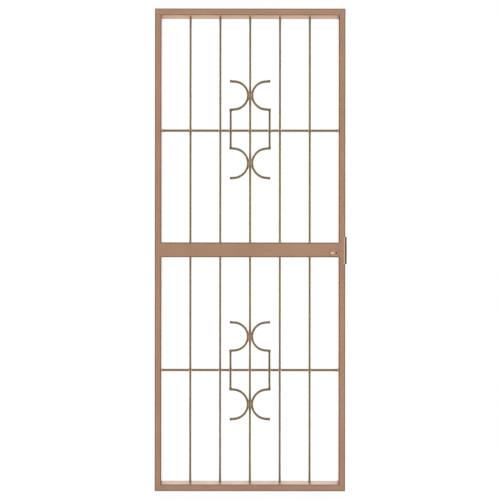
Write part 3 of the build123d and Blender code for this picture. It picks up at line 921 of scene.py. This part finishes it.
# %% Caps of paint on the tail ends
def mesh_points(node):
    """All the vertices of a CAD node as one array, in metres."""
    piece = frame["nodes"][node]
    flat = np.empty(3 * len(piece.data.vertices))
    piece.data.vertices.foreach_get("co", flat)
    turn = np.array(piece.matrix_world)
    return flat.reshape(-1, 3) @ turn[:3, :3].T + turn[:3, 3]


CAP_FILM, CAP_LENGTH, CAP_SINK = 0.5 * MM, 8.0 * MM, 1.3
CAP_POINTS, CAP_SIDES = 12, 32


def paint_caps(middles, outward, upward):
    """Caps of paint over the ends of rods.

    The profile has two parts. Over the cut, at distance r from the axis, it stands
    film * sqrt(1 - (r / R)^4) out, where R is the rod's radius and the film. Down the rod, at u
    from 0 to 1 along its length, its radius falls from R as R - film * u^2 * 1.3, which ends
    inside the rod, and a last point on the axis closes it.
    """
    u = np.linspace(0, 1, CAP_POINTS)[1:]
    face = np.sin(np.linspace(0, np.pi / 2, CAP_POINTS))
    full = BAR_RADIUS + CAP_FILM
    r = np.concatenate([full * face, full - CAP_SINK * CAP_FILM * u**2, [0.0]])
    r = r.reshape(1, -1, 1, 1)
    out = np.concatenate([CAP_FILM * np.sqrt(1 - face**4), -CAP_LENGTH * u, [-CAP_LENGTH]])
    a = around(CAP_SIDES).reshape(1, 1, -1, 1)
    across = r * np.cos(a) * Y + r * np.sin(a) * upward[:, None, None, :]
    return middles[:, None, None, :] + out.reshape(1, -1, 1, 1) * outward[:, None, None, :] + across


# %% Enamel that darkens towards the tail ends
# A darker tone painted over the last millimetres of each free tail.
TAIL_END_TONE, TAIL_END_FADE = linear(72, 56, 40), (6.5 * MM, 2.0 * MM)


def tail_paint(darkest_at):
    """Bar enamel that turns dark as its distance from the gate's middle nears a limit."""
    material, tree, shader, where_at = new_material("tail_enamel")
    film = use_group(tree, enamel, Vector=where_at, Light_Tone=SHADED_ROD_TONES[0], Deep_Tone=SHADED_ROD_TONES[1])
    across_x = place(tree, "SeparateXYZ", _0=where_at).outputs["X"]
    from_middle = calculate(tree, "ABSOLUTE", calculate(tree, "SUBTRACT", across_x, MIDDLE_X))
    toward_end = ramp(tree, from_middle, *(darkest_at - reach for reach in TAIL_END_FADE))
    colour = blend_colours(tree, toward_end, film["Colour"], TAIL_END_TONE)
    finish_surface(tree, shader, colour, film["Roughness"], film["Height"], PEEL_DEPTH)
    shine_like_bars(material)
    return material


# %% Where the tail ends are
FREE_TAIL_ABOVE, RIM_DEPTH = 40 * MM, 1.0 * MM


def tail_end(node, side, free_side):
    """The middle of a free tail's cut end, its outward direction and its upward one.

    The free tail is the part of the scroll over 40 mm above its middle, or below it where
    free_side is -1, and the rim is the last millimetre of that towards the side.
    """
    points = mesh_points(node)
    above_middle = (points[:, 2] - (points[:, 2].min() + points[:, 2].max()) / 2) * free_side
    tail = points[above_middle > FREE_TAIL_ABOVE]
    sideways = tail[:, 0] * side
    rim = tail[sideways > sideways.max() - RIM_DEPTH]
    up = rim[rim[:, 2].argmax()] - rim[rim[:, 2].argmin()]
    up = np.array([up[0], 0, up[2]]) / math.hypot(up[0], up[2])
    outward = side * np.array([up[2], 0, -up[0]])
    return (rim.min(axis=0) + rim.max(axis=0)) / 2, outward, up


tails = [
    tail_end(f"{panel}_scroll_{level_name}_{side_name}", side, free_side)
    for panel in PANELS
    for level_name, free_side in (("top", 1), ("bottom", -1))
    for side_name, side in SIDES
]
middles, outward, upward = map(np.array, zip(*tails))
tail_end_x = middles[-1][0] - MIDDLE_X
print("free tails end", round(tail_end_x, 4), "m from the gate's middle")
add_piece("tail_ends", paint_caps(middles, outward, upward), tail_paint(tail_end_x))

# %% [markdown]
# The wide middle rail meets the rounded corner of each stile, which would leave a groove.
# It was filled with weld and ground flush, so nothing of it shows on the photograph. The
# filling is a flat lens carried up the joint, 0.12 mm proud of the faces.

# %% Ground seams at the middle rail
SEAM_HALF_WIDTH, SEAM_HALF_DEPTH = 12.0 * MM, 1.1 * MM
SEAM_PROUD, SEAM_PAST_JOINT = 0.12 * MM, 2.6 * MM
# Shares of the half height: where the shrinking would reach nothing, and over what length.
SEAM_END, SEAM_CLOSING = 1.02, 0.1
SEAM_POINTS, SEAM_SIDES = 21, 24


def lens_strips(middles, half_height):
    """Upright strips with a lens section, closed at both ends.

    At height h from -1 to 1 and angle t round the section, the width is half_width * cos(t)
    and the depth half_depth * sin(t). Both shrink over the last tenth of the height, as the
    square root of what is left of it.
    """
    h = np.concatenate([[-1.0], np.linspace(-1, 1, SEAM_POINTS), [1.0]]).reshape(1, -1, 1)
    t = around(SEAM_SIDES).reshape(1, 1, -1)
    closing = np.clip((SEAM_END - np.abs(h)) / SEAM_CLOSING, 0, 1) ** 0.5
    closing[:, [0, -1]] = 0.0
    width = SEAM_HALF_WIDTH * closing * np.cos(t)
    depth_in = SEAM_HALF_DEPTH * closing * np.sin(t)
    return middles[:, None, None, :] + np.stack([width, depth_in, half_height * h + 0 * t], axis=-1)


rail_middle_z, rail_half_height = (rail_low[2] + rail_high[2]) / 2, (rail_high[2] - rail_low[2]) / 2
sunk = SEAM_HALF_DEPTH - SEAM_PROUD
seam_middles = [
    (joint_x + away * SEAM_PAST_JOINT, face_y + inward * sunk, rail_middle_z)
    for joint_x, away in ((rail_low[0], -1), (rail_high[0], 1))
    for face_y, inward in ((FACE_Y, 1), (BACK_Y, -1))
]
seams = lens_strips(np.array(seam_middles), rail_half_height)
add_piece("middle_rail_seams", seams, hinge_paint)

# %% [markdown]
# ## Hinge welds
#
# Each hinge barrel stands on a foot behind the stile, with a run of weld down both sides. A run
# has the same shape as the beads beside the scrolls, only longer and with more ripples, one for
# each step of the welder's hand, so the same formula makes it.

# %% Runs of weld down the hinge feet
HINGE_RUN, HINGE_RIPPLES, RUN_BEHIND_STILE = np.array([2.6, 3.0, 24.0]) * MM, 60, 0.5 * MM

run_centres = []
for panel in PANELS:
    low, high = limits(f"{panel}_hinge_barrel")
    foot_z = (low[2] + high[2]) / 2
    run_centres += [(foot_x, BACK_Y + RUN_BEHIND_STILE, foot_z) for foot_x in (low[0], high[0])]

hinge_runs = beads(run_centres, HINGE_RUN, HINGE_RIPPLES)
add_piece("hinge_foot_welds", hinge_runs, highlighted_weld_paint)

# %% [markdown]
# ## Screws of the lock front
#
# The lock front is held by a countersunk screw at each end. Only the head's flat face and its
# cross recess show. The head is a height field over a disc: flat, rounded down at the rim,
# with two crossing grooves cut into it.

# %% Countersunk screw heads
SCREW_INSET, SCREW_RADIUS, SCREW_PROUD, SCREW_SUNK = 9.0 * MM, 3.6 * MM, 0.35 * MM, 1.2 * MM
RECESS_HALF_WIDTH, RECESS_DEPTH, RECESS_REACH = 0.5 * MM, 0.9 * MM, 0.62 * SCREW_RADIUS
SCREW_RINGS, SCREW_SIDES, FIRST_RING = 24, 64, 0.05


def screw_heads(middles):
    """Screw heads facing +x.

    At distance r and angle a from the axis, the height is proud * sqrt(1 - (r / radius)^4),
    less the recess's depth where the point lies in either groove. The back is a shallow cone.
    """
    rings = np.linspace(FIRST_RING, 1, SCREW_RINGS)
    share = np.concatenate([[0.0], rings, [0.5, 0.0]]).reshape(1, -1, 1)
    a = around(SCREW_SIDES).reshape(1, 1, -1)
    u, v = SCREW_RADIUS * share * np.cos(a), SCREW_RADIUS * share * np.sin(a)
    dome = SCREW_PROUD * np.sqrt(1 - share**4) + 0 * a
    nearest, furthest = np.minimum(np.abs(u), np.abs(v)), np.maximum(np.abs(u), np.abs(v))
    in_recess = (nearest < RECESS_HALF_WIDTH) & (furthest < RECESS_REACH)
    height = dome - RECESS_DEPTH * in_recess
    height[:, -2:] = -SCREW_SUNK * np.array([0.5, 1.0]).reshape(1, 2, 1)
    return middles[:, None, None, :] + np.stack([height, u, v], axis=-1)


forend_low, forend_high = limits("lock_forend")
screw_y = (forend_low[1] + forend_high[1]) / 2
screw_heights = (forend_low[2] + SCREW_INSET, forend_high[2] - SCREW_INSET)
screw_middles = np.array([(forend_high[0], screw_y, screw_z) for screw_z in screw_heights])
add_piece("lock_front_screws", screw_heads(screw_middles), pin_steel)
